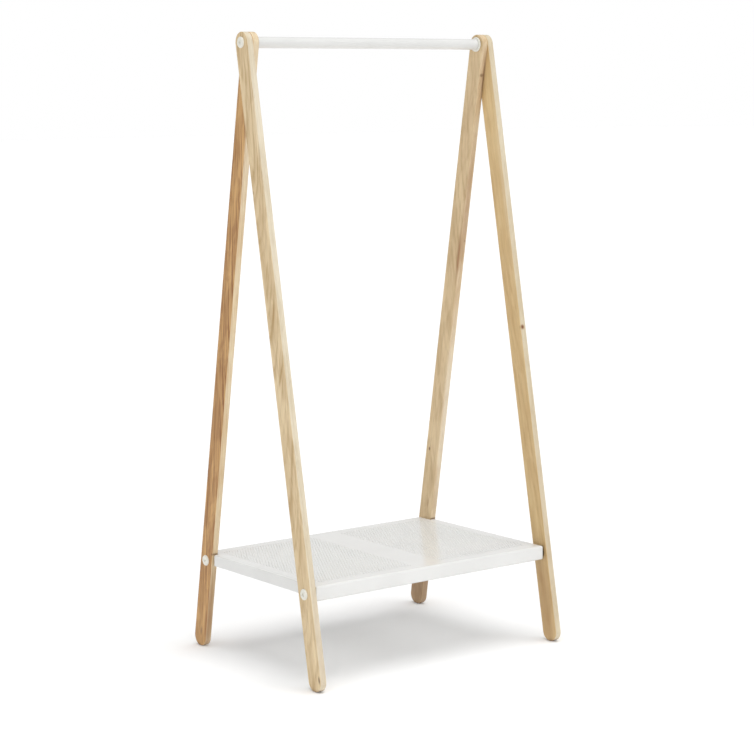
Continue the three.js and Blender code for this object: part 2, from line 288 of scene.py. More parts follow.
def ash(name, leg, broad, narrow, pith, tilt, ring_mm, line, figure, seed, marks):
    """Ash wood in a leg's own directions: Z along the grain, Y across the broad face.

    Growth rings are cylinders about a pith, a point in mm from the leg's middle, that leans away from
    the leg by tilt in X and Y. Each ring is a dark, porous line. broad and narrow are the light and the
    dark tone of those faces. line and figure are the strengths of the rings and of the mottling. Marks
    are (centre mm, half sizes mm, slant of Y along Z, colour, strength).
    """
    material = bpy.data.materials.new(name)
    t = Tree(material)
    coords = t.node("ShaderNodeTexCoord")
    own = leg_place(t, leg, coords)
    place = t.vector("ADD", own, (seed, seed * 0.7, seed * 1.3))
    bent = bend_grain(t, own, place)
    ring = growth_rings(t, bent, place, pith, tilt, ring_mm)

    fibre = t.grey_noise(place, (520.0, 520.0, 7.0), 3.0, 0.6)
    streaks = t.grey_noise(place, (150.0, 150.0, 4.0), 2.0, 0.6)
    mottle = t.grey_noise(place, (36.0, 36.0, 11.0), 3.0, 0.62, 0.6)
    slow = t.grey_noise(place, (12.0, 12.0, 2.6), 1.0)
    pore = t.grey_noise(place, (1500.0, 1500.0, 42.0), 1.0)
    pore = t.math("MULTIPLY", t.between(pore, 0.56, 0.68), t.math("MULTIPLY_ADD", ring, 0.85, 0.12))

    dark = t.math("MULTIPLY", ring, line)
    dark = t.math("ADD", dark, t.math("MULTIPLY", t.between(mottle, 0.36, 0.66), figure))
    dark = t.math("ADD", dark, t.between(slow, 0.32, 0.70, 0.0, 0.22))
    dark = t.math("ADD", dark, t.between(streaks, 0.30, 0.70, -0.10, 0.16), clamp=True)

    facing = t.node("ShaderNodeSeparateXYZ", Vector=coords.outputs["Normal"])
    sideways = t.math("ABSOLUTE", facing.outputs["X"])
    on_narrow = t.between(sideways, 0.30, 0.80, 1.0, 0.0)
    light_tone, dark_tone = [t.mix(on_narrow, wide, thin) for wide, thin in zip(broad, narrow)]
    colour = add_marks(t, t.mix(dark, light_tone, dark_tone), bent, marks)

    fibre_tone = t.between(fibre, 0.25, 0.75, 0.94, 1.05)
    fibre_grey = t.node("ShaderNodeCombineXYZ", X=fibre_tone, Y=fibre_tone, Z=fibre_tone)
    colour = t.mix(1.0, colour, fibre_grey.outputs[0], "MULTIPLY")
    colour = t.mix(t.math("MULTIPLY", pore, 0.5), colour, t.mix(0.5, dark_tone, UMBER))
    # Lighter along the eased edges: partly wear, partly a painted highlight along the arrises.
    edge = t.math("MULTIPLY", sideways, t.math("SUBTRACT", 1.0, sideways))
    colour = t.mix(t.between(edge, 0.05, 0.25, 0.0, 0.25), colour, light_tone)

    rough = t.math("ADD", t.between(fibre, 0.2, 0.8, 0.40, 0.52), t.math("MULTIPLY", pore, 0.15))
    height = t.math("SUBTRACT", t.math("MULTIPLY", fibre, 0.5), t.math("MULTIPLY_ADD", ring, 0.25, pore))
    t.finish(colour, rough, height, 0.35, 0.00025)
    return material


LEFT = -LEG_THICKNESS / 2
FRONT = -LEG_WIDTH / 2
# Painted shade: a contact shadow that darkens the bottom of each foot, just above the glide.
FOOT_CONTACT_SHADOW = ((0, 0, -LEG_SPAN - 32), (34, 44, 16), 0.0, BARK, 0.8)
# Painted shade: a thin dark band on the rear legs' front face, the shadow of the gap where they pass the
# tray.
SHELF_GAP_SHADOW = ((0, FRONT, -1333), (60, 5, 4.5), LEG_LEAN, BARK, 0.75)
WOODS = {
    "left_front": ash(
        "cream_ash",
        ("left", "front"),
        broad=(rgb(234, 212, 172), rgb(191, 161, 114)),
        narrow=(rgb(227, 216, 193), rgb(200, 183, 151)),
        pith=(250, 40),
        tilt=(0.043, 0.0),
        ring_mm=3.0,
        line=0.75,
        figure=0.40,
        seed=3.1,
        marks=[
            ((LEFT, 2, -562), (6, 5, 40), -0.30, OCHRE, 0.85),
            ((LEFT, -3, -672), (6, 5, 50), -0.26, OCHRE, 0.90),
            ((LEFT, -7, -816), (6, 5, 40), -0.40, OCHRE, 0.90),
            ((LEFT, 22, -368), (6, 6, 8), 0.0, BARK, 0.85),
            ((LEFT, 0, -470), (7, 34, 250), 0.0, OCHRE, 0.30),
            ((1, FRONT, -160), (16, 12, 330), 0.0, CREAM, 0.35),
            ((1, FRONT, -1500), (16, 10, 300), 0.0, BROWN, 0.15),
            ((LEFT, -20, -1568), (6, 5, 14), 0.0, BARK, 0.80),
            FOOT_CONTACT_SHADOW,
        ],
    ),
    "left_rear": ash(
        "warm_ash",
        ("left", "rear"),
        broad=(rgb(218, 174, 112), rgb(148, 97, 44)),
        narrow=(rgb(233, 216, 183), rgb(208, 179, 137)),
        pith=(28, -20),
        tilt=(0.045, -0.022),
        ring_mm=4.0,
        line=1.10,
        figure=0.42,
        seed=7.7,
        marks=[
            ((LEFT, -6, -735), (6, 9, 38), 0.1, BROWN, 0.65),
            ((LEFT, -1, -1158), (6, 4, 34), 0.10, BARK, 0.75),
            ((LEFT, -13, -1324), (6, 8, 20), -0.3, BROWN, 0.80),
            ((LEFT, -5, -1556), (6, 7, 18), 0.0, BARK, 0.60),
            ((LEFT, 0, -200), (7, 34, 350), 0.0, BROWN, 0.05),
            ((1, FRONT, -200), (16, 10, 340), 0.0, CREAM, 0.30),
            # Painted shade: the front face darker below the shelf, in the shelf's shadow.
            ((1, FRONT, -1510), (16, 12, 190), 0.0, RUSSET, 0.62),
            SHELF_GAP_SHADOW,
            FOOT_CONTACT_SHADOW,
        ],
    ),
    "right_front": ash(
        "golden_ash",
        ("right", "front"),
        broad=(rgb(222, 194, 143), rgb(197, 162, 108)),
        narrow=(rgb(219, 207, 180), rgb(193, 173, 139)),
        pith=(-380, 60),
        tilt=(0.014, 0.0),
        ring_mm=4.0,
        line=0.45,
        figure=0.35,
        seed=12.4,
        marks=[
            ((0, FRONT, -320), (16, 12, 480), 0.0, CREAM, 0.20),
            ((0, FRONT, -1250), (16, 12, 520), 0.0, BROWN, 0.12),
            ((-2, FRONT, -760), (9, 8, 10), 0.0, BROWN, 0.95),
            ((-2, FRONT, -760), (6, 6, 6), 0.0, BARK, 0.80),
            # Painted shade: the inner face darker below the shelf, in the shelf's shadow.
            ((LEFT, 4, -1500), (10, 44, 250), 0.0, BROWN, 0.42),
            # Painted shadow in the narrow gap between the tray's end and this leg's inner face.
            ((LEFT, -11, -1360), (8, 8, 25), -LEG_LEAN, SHADE, 0.95),
            FOOT_CONTACT_SHADOW,
        ],
    ),
    "right_rear": ash(
        "tan_ash",
        ("right", "rear"),
        broad=(rgb(229, 205, 164), rgb(197, 169, 125)),
        narrow=(rgb(231, 211, 177), rgb(196, 166, 125)),
        pith=(-260, -40),
        tilt=(-0.045, 0.0),
        ring_mm=2.8,
        line=0.60,
        figure=0.50,
        seed=19.8,
        marks=[
            ((LEFT, 14, -1136), (6, 4.5, 8), 0.0, BARK, 0.95),
            ((LEFT, -6, -1290), (6, 5, 26), 0.0, BROWN, 0.90),
            ((LEFT, -25, -575), (7, 12, 105), 0.0, BROWN, 0.72),
            ((6, FRONT, -85), (14, 12, 110), 0.0, BROWN, 0.30),
            ((9, FRONT, -95), (5, 10, 95), 0.0, BARK, 0.70),
            ((2, FRONT, -78), (9, 8, 7), 0.0, BARK, 0.60),
            ((5, FRONT, -530), (5, 5, 7), 0.0, BARK, 0.75),
            ((1, FRONT, -450), (16, 12, 290), 0.0, BROWN, 0.42),
            ((1, FRONT, -1020), (16, 12, 400), 0.0, CREAM, 0.42),
            ((LEFT, 0, -120), (7, 34, 330), 0.0, BROWN, 0.18),
            # Painted shade: the whole lower leg darker below the shelf, in the shelf's shadow.
            ((0, 0, -1540), (60, 90, 190), 0.0, UMBER, 0.62),
            SHELF_GAP_SHADOW,
            FOOT_CONTACT_SHADOW,
        ],
    ),
}

# ---------------------------------------------------------------- coats, metal, plastic

SPECK = rgb(205, 203, 198)
FOLD_SHADE_GREY = rgb(150, 149, 146)
DULL_SHARE = 0.965


def powder_coat(name, tint, gloss, peel=0.12, fold_shade=0.0):
    """Glossy white powder coat with a faint orange peel, a slow change of tone and fine specks.

    The fold argument darkens it along the folds with painted shade, toning down their highlight.
    """
    material = bpy.data.materials.new(name)
    t = Tree(material)
    place = t.node("ShaderNodeTexCoord").outputs["Object"]
    cloud = t.noise(place, 9.0, 3.0, 0.55).outputs["Fac"]
    grainy = t.noise(place, 900.0, 2.0, 0.6).outputs["Fac"]
    skin = t.noise(place, 330.0, 2.0, 0.5).outputs["Fac"]
    dull = tuple(c * DULL_SHARE for c in tint[:3]) + (1.0,)
    colour = t.mix(t.between(cloud, 0.35, 0.65), tint, dull)
    colour = t.mix(t.between(grainy, 0.62, 0.78, 0.0, 0.10), colour, SPECK)
    # Painted shade on the folds, where the normal leans between two axes.
    if fold_shade:
        normal = t.node("ShaderNodeTexCoord").outputs["Normal"]
        facing = t.node("ShaderNodeSeparateXYZ", Vector=t.vector("ABSOLUTE", normal))
        flatness = t.math("MAXIMUM", t.math("MAXIMUM", *facing.outputs[:2]), facing.outputs["Z"])
        colour = t.mix(t.between(flatness, 0.75, 0.99, fold_shade, 0.0), colour, FOLD_SHADE_GREY)
    rough = t.between(cloud, 0.3, 0.7, gloss * 0.8, gloss * 1.25)
    rough = t.math("ADD", rough, t.math("MULTIPLY", grainy, 0.03))
    t.finish(colour, rough, skin, peel, 0.0002)
    return material


def zinc(name):
    """Zinc-plated steel with a soft spangle and fine turning marks."""
    material = bpy.data.materials.new(name)
    t = Tree(material)
    place = t.node("ShaderNodeTexCoord").outputs["Object"]
    spangle = t.noise(place, 420.0, 3.0, 0.6).outputs["Fac"]
    turned = t.grey_noise(place, (2600.0, 260.0, 260.0), 2.0, 0.6)
    colour = t.mix(t.between(spangle, 0.35, 0.7), rgb(168, 170, 172), rgb(134, 136, 138))
    t.finish(colour, t.between(turned, 0.2, 0.8, 0.26, 0.42), turned, 0.2, 0.0001, metallic=1.0)
    return material


def moulded(name, light, dark, roughness, grain, bump_distance):
    """Plastic, rubber or felt with a fine grain."""
    material = bpy.data.materials.new(name)
    t = Tree(material)
    place = t.node("ShaderNodeTexCoord").outputs["Object"]
    mottle = t.noise(place, grain, 3.0, 0.65).outputs["Fac"]
    colour = t.mix(t.between(mottle, 0.3, 0.7), light, dark)
    rough = t.between(mottle, 0.2, 0.8, roughness * 0.85, min(1.0, roughness * 1.15))
    t.finish(colour, rough, mottle, 0.3, bump_distance)
    return material


coat = powder_coat("white_powder_coat", rgb(231, 231, 229), gloss=0.13, fold_shade=0.09)
rail_coat = powder_coat("rail_powder_coat", rgb(226, 226, 224), gloss=0.20, peel=0.04)
head_coat = powder_coat("screw_head_coat", rgb(235, 233, 222), gloss=0.22, peel=0.06)
steel = zinc("zinc_steel")
collar_plastic = moulded("collar_plastic", rgb(236, 235, 226), rgb(228, 227, 218), 0.34, 500.0, 0.00005)
rubber = moulded("dark_rubber", rgb(62, 58, 54), rgb(44, 41, 38), 0.7, 700.0, 0.0002)
felt = moulded("glide_felt", rgb(92, 74, 56), rgb(64, 50, 38), 0.9, 1400.0, 0.0005)

# ---------------------------------------------------------------- mesh helpers


def link(name, bm, materials, smooth_angle=35.0):
    """A bmesh in mm as an object in metres, with its faces turned outwards."""
    bmesh.ops.remove_doubles(bm, verts=bm.verts, dist=WELD)
    bmesh.ops.recalc_face_normals(bm, faces=bm.faces)
    bmesh.ops.scale(bm, vec=(MM, MM, MM), verts=bm.verts)
    mesh = bpy.data.meshes.new(name)
    bm.to_mesh(mesh)
    bm.free()
    for material in materials:
        mesh.materials.append(material)
    mesh.shade_smooth()
    mesh.set_sharp_from_angle(angle=math.radians(smooth_angle))
    piece = bpy.data.objects.new(name, mesh)
    bpy.context.scene.collection.objects.link(piece)
    modifier = piece.modifiers.new("flat_faces", "WEIGHTED_NORMAL")
    modifier.keep_sharp = True
    modifier.weight = 90
    return piece


def stand_for(piece, node):
    """Lets a piece take the place of its CAD node."""
    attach(piece, "root")
    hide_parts(node)
    return piece


def set_on_side(piece, side, place):
    """Puts a piece made for the right side at its Y and Z in mm, turned round for the left side."""
    y, z = place
    turn = Matrix.Rotation(math.pi if side == "left" else 0, 4, "Z")
    piece.matrix_world = Matrix.Translation((0, y * MM, z * MM)) @ turn


def add_face(bm, points):
    return bm.faces.new([bm.verts.new(point) for point in points])


def circle(radius, count):
    """Corners of a regular polygon, as (first, second) coordinates."""
    angles = [2 * math.pi * i / count for i in range(count)]
    return [(radius * math.cos(angle), radius * math.sin(angle)) for angle in angles]


def quarter(steps):
    """Angles from zero to a right angle, in equal steps."""
    return [math.pi / 2 * i / steps for i in range(steps + 1)]


def arc(centre, radius, start, stop, steps):
    """Points of an arc in degrees, as (first, second) coordinates."""
    points = []
    for i in range(steps + 1):
        angle = math.radians(start + (stop - start) * i / steps)
        points.append((centre[0] + radius * math.cos(angle), centre[1] + radius * math.sin(angle)))
    return points


def lathe(bm, profile, segments, slot=0):
    """Turns [x, radius] points about the X axis. A radius of 0 closes the end."""
    rings = []
    for x, radius in profile:
        points = [(x, y, z) for y, z in circle(radius, segments)] if radius else [(x, 0, 0)]
        rings.append([bm.verts.new(point) for point in points])
    for first, second in zip(rings, rings[1:]):
        for i in range(segments):
            j = (i + 1) % segments
            corners = [first[i % len(first)], first[j % len(first)]]
            corners += [second[j % len(second)], second[i % len(second)]]
            unique = list(dict.fromkeys(corners))
            if len(unique) > 2:
                bm.faces.new(unique).material_index = slot


# ---------------------------------------------------------------- legs

LEG_END_STEPS = 40
LEG_EDGE_STEPS = 5
LEG_LENGTH_STEPS = 10


def leg_outline(radius):
    """Outline of a leg in its own YZ plane, from the top right round to the left and back."""
    points = arc((0, 0), radius, 0, 180, LEG_END_STEPS)
    for i in range(1, LEG_LENGTH_STEPS):
        points.append((-radius, -LEG_SPAN * i / LEG_LENGTH_STEPS))
    points += arc((0, -LEG_SPAN), radius, 180, 360, LEG_END_STEPS)
    for i in range(1, LEG_LENGTH_STEPS):
        points.append((radius, -LEG_SPAN + LEG_SPAN * i / LEG_LENGTH_STEPS))
    return points


def build_leg(side, end):
    """A plank with round ends and eased edges, cut flat where the glide sits under its foot."""
    bm = bmesh.new()
    profile = []
    for angle in quarter(LEG_EDGE_STEPS):
        x = LEG_THICKNESS / 2 - LEG_EDGE_RADIUS * (1 - math.cos(angle))
        profile.append((x, LEG_EDGE_RADIUS * (1 - math.sin(angle))))
    profile += [(-x, inset) for x, inset in reversed(profile)]
    rings = []
    for x, inset in profile:
        outline = leg_outline(LEG_WIDTH / 2 - inset)
        rings.append([bm.verts.new((x, y, z)) for y, z in outline])
    for first, second in zip(rings, rings[1:]):
        for i in range(len(first)):
            j = (i + 1) % len(first)
            bm.faces.new((first[i], first[j], second[j], second[i]))
    for ring in (rings[0], rings[-1]):
        bm.faces.new(ring)

    # The leg's matrix is in metres, so the leg goes to metres and back.
    bmesh.ops.scale(bm, vec=(MM, MM, MM), verts=bm.verts)
    bmesh.ops.transform(bm, matrix=leg_matrix(side, end), verts=bm.verts)
    bmesh.ops.scale(bm, vec=(1 / MM, 1 / MM, 1 / MM), verts=bm.verts)
    geometry = bm.verts[:] + bm.edges[:] + bm.faces[:]
    cut = bmesh.ops.bisect_plane(
        bm, geom=geometry, plane_co=(0, 0, GLIDE_FLAT_HEIGHT), plane_no=(0, 0, 1), clear_inner=True
    )
    rim = [edge for edge in cut["geom_cut"] if isinstance(edge, bmesh.types.BMEdge)]
    bmesh.ops.contextual_create(bm, geom=rim)

    name = f"{side}_{end}"
    leg = link(f"{name}_ash_leg", bm, [WOODS[name]], smooth_angle=40)
    return stand_for(leg, f"{name}_leg")


# ---------------------------------------------------------------- screws and other turned pieces

HEAD_RADIUS = 14.0
HEAD_HEIGHT = 4.6
HEAD_RIM = 1.6  # height of the straight rim below the dome
HEAD_EDGE = 0.5  # rounding of the rim's lower edge
HEAD_FLAT = HEAD_RADIUS * 0.62  # radius of the flat middle of the dome
DOME_STEPS = 9
SOCKET_WIDTH = 8.0  # across the flats
SOCKET_LEAD = 0.45  # bevel of the socket's mouth
SOCKET_DEPTH = 2.4
SOCKET_POINT = 3.0  # depth of the drill point in its middle
SCREW_SEGMENTS = 48
THREAD_DEPTH = 0.55
THREAD_RUNOUT = 1.0  # the thread ends at least this far before the tip
TIP_LENGTH = 0.8
TIP_SHOULDER = 0.2
TIP_CHAMFER = 0.9
SCREW_BORE = 3.3
BOLT_BORE = 4.3

RAIL_RADIUS = 14.0
RAIL_BORE = 12.5
RAIL_EDGE = 0.5
RAIL_EDGE_MIDDLE = 0.15
RAIL_BORE_EDGE = 0.4
RAIL_STEPS = 24
RAIL_SEGMENTS = 72
TURNED_SEGMENTS = 56
COLLAR_RADIUS = 19.0
COLLAR_ROUNDING = 1.6
COLLAR_ROUNDING_STEPS = 6
COLLAR_CHAMFER = 0.4
COLLAR_GROOVE = (16.4, 15.4, 14.6)  # radii where the groove starts, is deepest and ends
COLLAR_GROOVE_DEPTH = 0.25
SPACER_RADIUS = 15.0
SPACER_EDGE = 0.5
SPACER_SEGMENTS = 40
NUT_FLAT = 5.0  # from the middle to a flat side
NUT_FACE = 4.8  # radius of the round end faces
NUT_HEIGHT = 5.0
NUT_CHAMFER = 0.5
GLIDE_PROFILE = [(0.0, 0), (0.0, 6.9), (0.15, 7.3), (0.45, 7.5), (0.8, 7.45), (1.2, 7.1), (1.2, 0)]
GLIDE_SEGMENTS = 40


def add_socket(bm, top):
    """The flat middle of a screw's dome, with a hexagon socket that has a bevelled mouth."""
    corner = SOCKET_WIDTH / 2 / math.cos(math.pi / 6)
    mouth = [(top, y, z) for y, z in circle(corner + SOCKET_LEAD, 6)]
    upper = [(top - SOCKET_LEAD, y, z) for y, z in circle(corner, 6)]
    lower = [(top - SOCKET_DEPTH, y, z) for y, z in circle(corner, 6)]
    point = (top - SOCKET_POINT, 0, 0)
    rim = [(top, y, z) for y, z in circle(HEAD_FLAT, SCREW_SEGMENTS)]
    part = SCREW_SEGMENTS // 6
    for k in range(6):
        n = (k + 1) % 6
        stretch = [rim[(k * part + i) % SCREW_SEGMENTS] for i in range(part, -1, -1)]
        add_face(bm, stretch + [mouth[k], mouth[n]])
        add_face(bm, [mouth[k], mouth[n], upper[n], upper[k]])
        add_face(bm, [upper[k], upper[n], lower[n], lower[k]])
        add_face(bm, [lower[k], lower[n], point])


def shank_profile(head_x, diameter, length, pitch, legs):
    """[x, radius] points of a shank: plain through its legs, then threaded, with a chamfered tip."""
    radius = diameter / 2
    tip = head_x - length
    x = head_x - LEG_THICKNESS * legs
    profile = [(head_x, radius), (x, radius)]
    while x - pitch > tip + THREAD_RUNOUT:
        profile.append((x - pitch / 2, radius - THREAD_DEPTH))
        profile.append((x - pitch, radius))
        x -= pitch
    return profile + [(tip + TIP_LENGTH, radius - TIP_SHOULDER), (tip, radius - TIP_CHAMFER), (tip, 0)]


def build_screw(name, node, side, head_x, place, **shank):
    """A domed cap screw along X. Its head stands out from head_x and its shank runs inwards."""
    bm = bmesh.new()
    dome = [(head_x, shank["diameter"] / 2), (head_x, HEAD_RADIUS - HEAD_EDGE)]
    for angle in (math.pi / 4, math.pi / 2):
        x = head_x + HEAD_EDGE * (1 - math.cos(angle))
        dome.append((x, HEAD_RADIUS - HEAD_EDGE * (1 - math.sin(angle))))
    for angle in quarter(DOME_STEPS):
        x = head_x + HEAD_RIM + (HEAD_HEIGHT - HEAD_RIM) * math.sin(angle)
        dome.append((x, HEAD_FLAT + (HEAD_RADIUS - HEAD_FLAT) * math.cos(angle)))
    lathe(bm, dome, SCREW_SEGMENTS)
    add_socket(bm, head_x + HEAD_HEIGHT)
    lathe(bm, shank_profile(head_x, **shank), SCREW_SEGMENTS, 1)
    piece = link(name, bm, [head_coat, steel], smooth_angle=30)
    set_on_side(piece, side, place)
    return stand_for(piece, node)


def build_turned(name, node, side, profile, place, material, slot, segments=TURNED_SEGMENTS):
    """A ring turned about X, at its Y and Z place on one side."""
    bm = bmesh.new()
    lathe(bm, profile, segments)
    piece = link(name, bm, [material])
    set_on_side(piece, side, place)
    return stand_for(piece, node)


def build_rail():
    """An open tube with eased ends."""
    end = [
        (RAIL_END - RAIL_EDGE, RAIL_RADIUS),
        (RAIL_END - RAIL_EDGE_MIDDLE, RAIL_RADIUS - RAIL_EDGE_MIDDLE),
        (RAIL_END, RAIL_RADIUS - RAIL_EDGE),
        (RAIL_END, RAIL_BORE + RAIL_BORE_EDGE),
        (RAIL_END - RAIL_EDGE, RAIL_BORE),
    ]
    profile = [(-x, radius) for x, radius in reversed(end)]
    profile += [(RAIL_END * (2 * i / RAIL_STEPS - 1), RAIL_RADIUS) for i in range(1, RAIL_STEPS)]
    profile += end + [(-RAIL_END + RAIL_EDGE, RAIL_BORE)]
    bm = bmesh.new()
    lathe(bm, profile, RAIL_SEGMENTS)
    piece = link("hanging_rail_tube", bm, [rail_coat])
    piece.matrix_world = Matrix.Translation((0, 0, PIVOT_HEIGHT * MM))
    return stand_for(piece, "hanging_rail")


def build_collar(side):
    """A ring with a rounded rim and a fine groove around the rail's end."""
    inner = COLLAR_OUTER - COLLAR_THICKNESS
    rounding = (inner + COLLAR_ROUNDING, COLLAR_RADIUS - COLLAR_ROUNDING)
    groove_start, groove_middle, groove_end = COLLAR_GROOVE
    profile = [(COLLAR_OUTER, BOLT_BORE), (COLLAR_OUTER, COLLAR_RADIUS - COLLAR_CHAMFER)]
    profile.append((COLLAR_OUTER - COLLAR_CHAMFER, COLLAR_RADIUS))
    profile += arc(rounding, COLLAR_ROUNDING, 90, 180, COLLAR_ROUNDING_STEPS)
    profile += [(inner, groove_start), (inner + COLLAR_GROOVE_DEPTH, groove_middle), (inner, groove_end)]
    profile += [(inner, BOLT_BORE), (COLLAR_OUTER, BOLT_BORE)]
    place = (0, PIVOT_HEIGHT)
    names = (f"{side}_collar_ring", f"{side}_rail_collar")
    return build_turned(*names, side, profile, place, collar_plastic, "white_powder_coat")


def build_spacer(side):
    """A rubber ring with eased edges between a front leg and the tray's end."""
    low, high = SHELF_END + FIT_GAP, FRONT_LEG_OUTER - LEG_THICKNESS - FIT_GAP
    edge = SPACER_RADIUS - SPACER_EDGE
    profile = [(low, SCREW_BORE), (low, edge), (low + SPACER_EDGE, SPACER_RADIUS)]
    profile += [(high - SPACER_EDGE, SPACER_RADIUS), (high, edge), (high, SCREW_BORE), (low, SCREW_BORE)]
    place = (-SCREW_OFFSET, SCREW_HEIGHT)
    names = (f"{side}_spacer_ring", f"{side}_shelf_spacer")
    return build_turned(*names, side, profile, place, rubber, "dark_rubber", SPACER_SEGMENTS)


def shelf_screw_place(end):
    return (-SCREW_OFFSET if end == "front" else SCREW_OFFSET, SCREW_HEIGHT)


def build_nut(side, end):
    """A hexagon nut with turned-down corners, on the inside of the tray's wall."""
    outer = (SHELF_END if end == "front" else NOTCH_WALL) - SHEET - FIT_GAP
    inner = outer - NUT_HEIGHT
    # A ring has a point at each corner and in the middle of each side.
    turns = [math.pi / 6 * i for i in range(12)]
    hexagon = [NUT_FLAT / math.cos(math.pi / 6), NUT_FLAT] * 6
    bore, face = [SCREW_BORE] * 12, [NUT_FACE] * 12
    rings = []
    for x, radii in (
        (outer, bore),
        (outer, face),
        (outer - NUT_CHAMFER, hexagon),
        (inner + NUT_CHAMFER, hexagon),
        (inner, face),
        (inner, bore),
    ):
        rings.append([(x, r * math.cos(turn), r * math.sin(turn)) for r, turn in zip(radii, turns)])
    bm = bmesh.new()
    for first, second in zip(rings, rings[1:] + rings[:1]):
        for i in range(len(first)):
            j = (i + 1) % len(first)
            add_face(bm, [first[i], first[j], second[j], second[i]])
    piece = link(f"{side}_{end}_hex_nut", bm, [steel], smooth_angle=25)
    set_on_side(piece, side, shelf_screw_place(end))
    return stand_for(piece, f"{side}_{end}_shelf_nut")


def build_glide(side, end):
    """A felt disc under a foot, with a slightly pressed edge."""
    bm = bmesh.new()
    lathe(bm, GLIDE_PROFILE, GLIDE_SEGMENTS)
    bmesh.ops.rotate(bm, verts=bm.verts, matrix=Matrix.Rotation(-math.pi / 2, 3, "Y"))
    piece = link(f"{side}_{end}_felt_glide", bm, [felt], smooth_angle=40)
    low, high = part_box(f"{side}_{end}_glide")
    piece.matrix_world = Matrix.Translation(((low.x + high.x) / 2, (low.y + high.y) / 2, low.z))
    return stand_for(piece, f"{side}_{end}_glide")


# ---------------------------------------------------------------- shelf

HOLE_PITCH = 8.2
HOLE_RADIUS = 2.05
HOLE_SIDES = 8
ROW_PITCH = HOLE_PITCH * math.sqrt(3) / 2
COLUMNS = 36
ROWS = 62
FIELD_START = 43.5  # half of the plain strip between the two fields
FIELD_END = FIELD_START + COLUMNS * HOLE_PITCH
FIELD_EDGE = ROWS * ROW_PITCH / 2
BEND_STEPS = 6
SCREW_HOLE_SIDES = 24
FLANGE = 12.0  # width of the fold under the front and rear walls
SHEET_FACES = (SHELF_TOP, SHELF_TOP - SHEET)
WALL_TOP = SHELF_TOP - BEND

RIB_HALF_WIDTH = 30.0
RIB_HALF_CROWN = 15.0
RIB_DEPTH = 16.0
RIB_SHEET = 1.2
RIB_FOLD = 2.4
RIB_FOLD_STEPS = 5


def holed_cell(low, high, centre, radius, sides, bottom_points=()):
    """A flat rectangle around a round hole: its right and left part, and the rim of the hole.

    bottom_points are further points along the lower edge, in order.
    """
    rim = [(centre[0] + u, centre[1] + v) for u, v in circle(radius, sides)]
    right = [rim[(i - sides // 4) % sides] for i in range(sides // 2 + 1)]
    left = [rim[(i + sides // 4) % sides] for i in range(sides // 2 + 1)]
    (x0, y0), (x1, y1) = low, high
    middle = centre[0]
    right_part = [(middle, y0)] + [(x, y0) for x in bottom_points if x > middle]
    right_part += [(x1, y0), (x1, y1), (middle, y1)] + right[::-1]
    left_part = [(middle, y1), (x0, y1), (x0, y0)]
    left_part += [(x, y0) for x in bottom_points if x < middle] + [(middle, y0)] + left[::-1]
    return right_part, left_part, rim


def field_cells():
    """The right perforated field in staggered rows: cells with a hole, and half cells without one."""
    cells, plain = [], []
    half = HOLE_PITCH / 2
    for row in range(ROWS):
        y0, y1 = -FIELD_EDGE + row * ROW_PITCH, -FIELD_EDGE + (row + 1) * ROW_PITCH
        odd = row % 2
        for column in range(COLUMNS - odd):
            x0 = FIELD_START + odd * half + column * HOLE_PITCH
            cells.append((x0, y0, x0 + HOLE_PITCH, y1))
        if odd:
            plain += [(x0, y0, x0 + half, y1) for x0 in (FIELD_START, FIELD_END - half)]
    return cells, plain


def add_fields(bm):
    """Both perforated fields: their upper and lower faces and the walls of their holes."""
    top, under = SHEET_FACES
    cells, plain = field_cells()
    for sign in (1, -1):
        for x0, y0, x1, y1 in cells:
            centre = ((x0 + x1) / 2, (y0 + y1) / 2)
            right, left, rim = holed_cell((x0, y0), (x1, y1), centre, HOLE_RADIUS, HOLE_SIDES)
            for outline in (right, left):
                for z in SHEET_FACES:
                    add_face(bm, [(sign * x, y, z) for x, y in outline])
            for (xa, ya), (xb, yb) in zip(rim, rim[1:] + rim[:1]):
                corners = ((xa, ya, top), (xb, yb, top), (xb, yb, under), (xa, ya, under))
                add_face(bm, [(sign * x, y, z) for x, y, z in corners])
        for x0, y0, x1, y1 in plain:
            for z in SHEET_FACES:
                corners = ((x0, y0), (x1, y0), (x1, y1), (x0, y1))
                add_face(bm, [(sign * x, y, z) for x, y in corners])


def add_plain_sheet(bm):
    """The flat sheet around and between the fields, as far as the bends."""
    end_x, edge_y = SHELF_END - BEND, SHELF_EDGE - BEND
    notch_x, notch_y = NOTCH_WALL - BEND, NOTCH_FRONT - BEND
    rows = [-FIELD_EDGE + i * ROW_PITCH for i in range(ROWS + 1)]
    columns = [FIELD_START + i * HOLE_PITCH / 2 for i in range(2 * COLUMNS + 1)]
    across = [-x for x in reversed(columns)] + columns

    front = [(-end_x, -edge_y), (end_x, -edge_y), (end_x, -FIELD_EDGE)]
    front += [(x, -FIELD_EDGE) for x in reversed(across)] + [(-end_x, -FIELD_EDGE)]
    end = [(FIELD_END, y) for y in reversed(rows) if y < notch_y]
    end += [(end_x, -FIELD_EDGE), (end_x, notch_y), (notch_x, notch_y), (notch_x, FIELD_EDGE)]
    end += [(FIELD_END, y) for y in reversed(rows) if y > notch_y]
    middle = [(FIELD_START, y) for y in rows] + [(-FIELD_START, y) for y in reversed(rows)]
    rear = [(notch_x, edge_y), (-notch_x, edge_y), (-notch_x, FIELD_EDGE)]
    rear += [(x, FIELD_EDGE) for x in across] + [(notch_x, FIELD_EDGE)]
    for z in SHEET_FACES:
        for outline in (front, end, [(-x, y) for x, y in end], middle, rear):
            add_face(bm, [(x, y, z) for x, y in outline])


def tray_outline(inset):
    """The tray seen from above, with its rear corners cut out, moved inwards by inset."""
    end, notch = SHELF_END - inset, NOTCH_WALL - inset
    front, step, rear = -SHELF_EDGE + inset, NOTCH_FRONT - inset, SHELF_EDGE - inset
    right = [(end, front), (end, step), (notch, step), (notch, rear)]
    return [(-end, front)] + right + [(-x, y) for x, y in reversed(right[1:])]


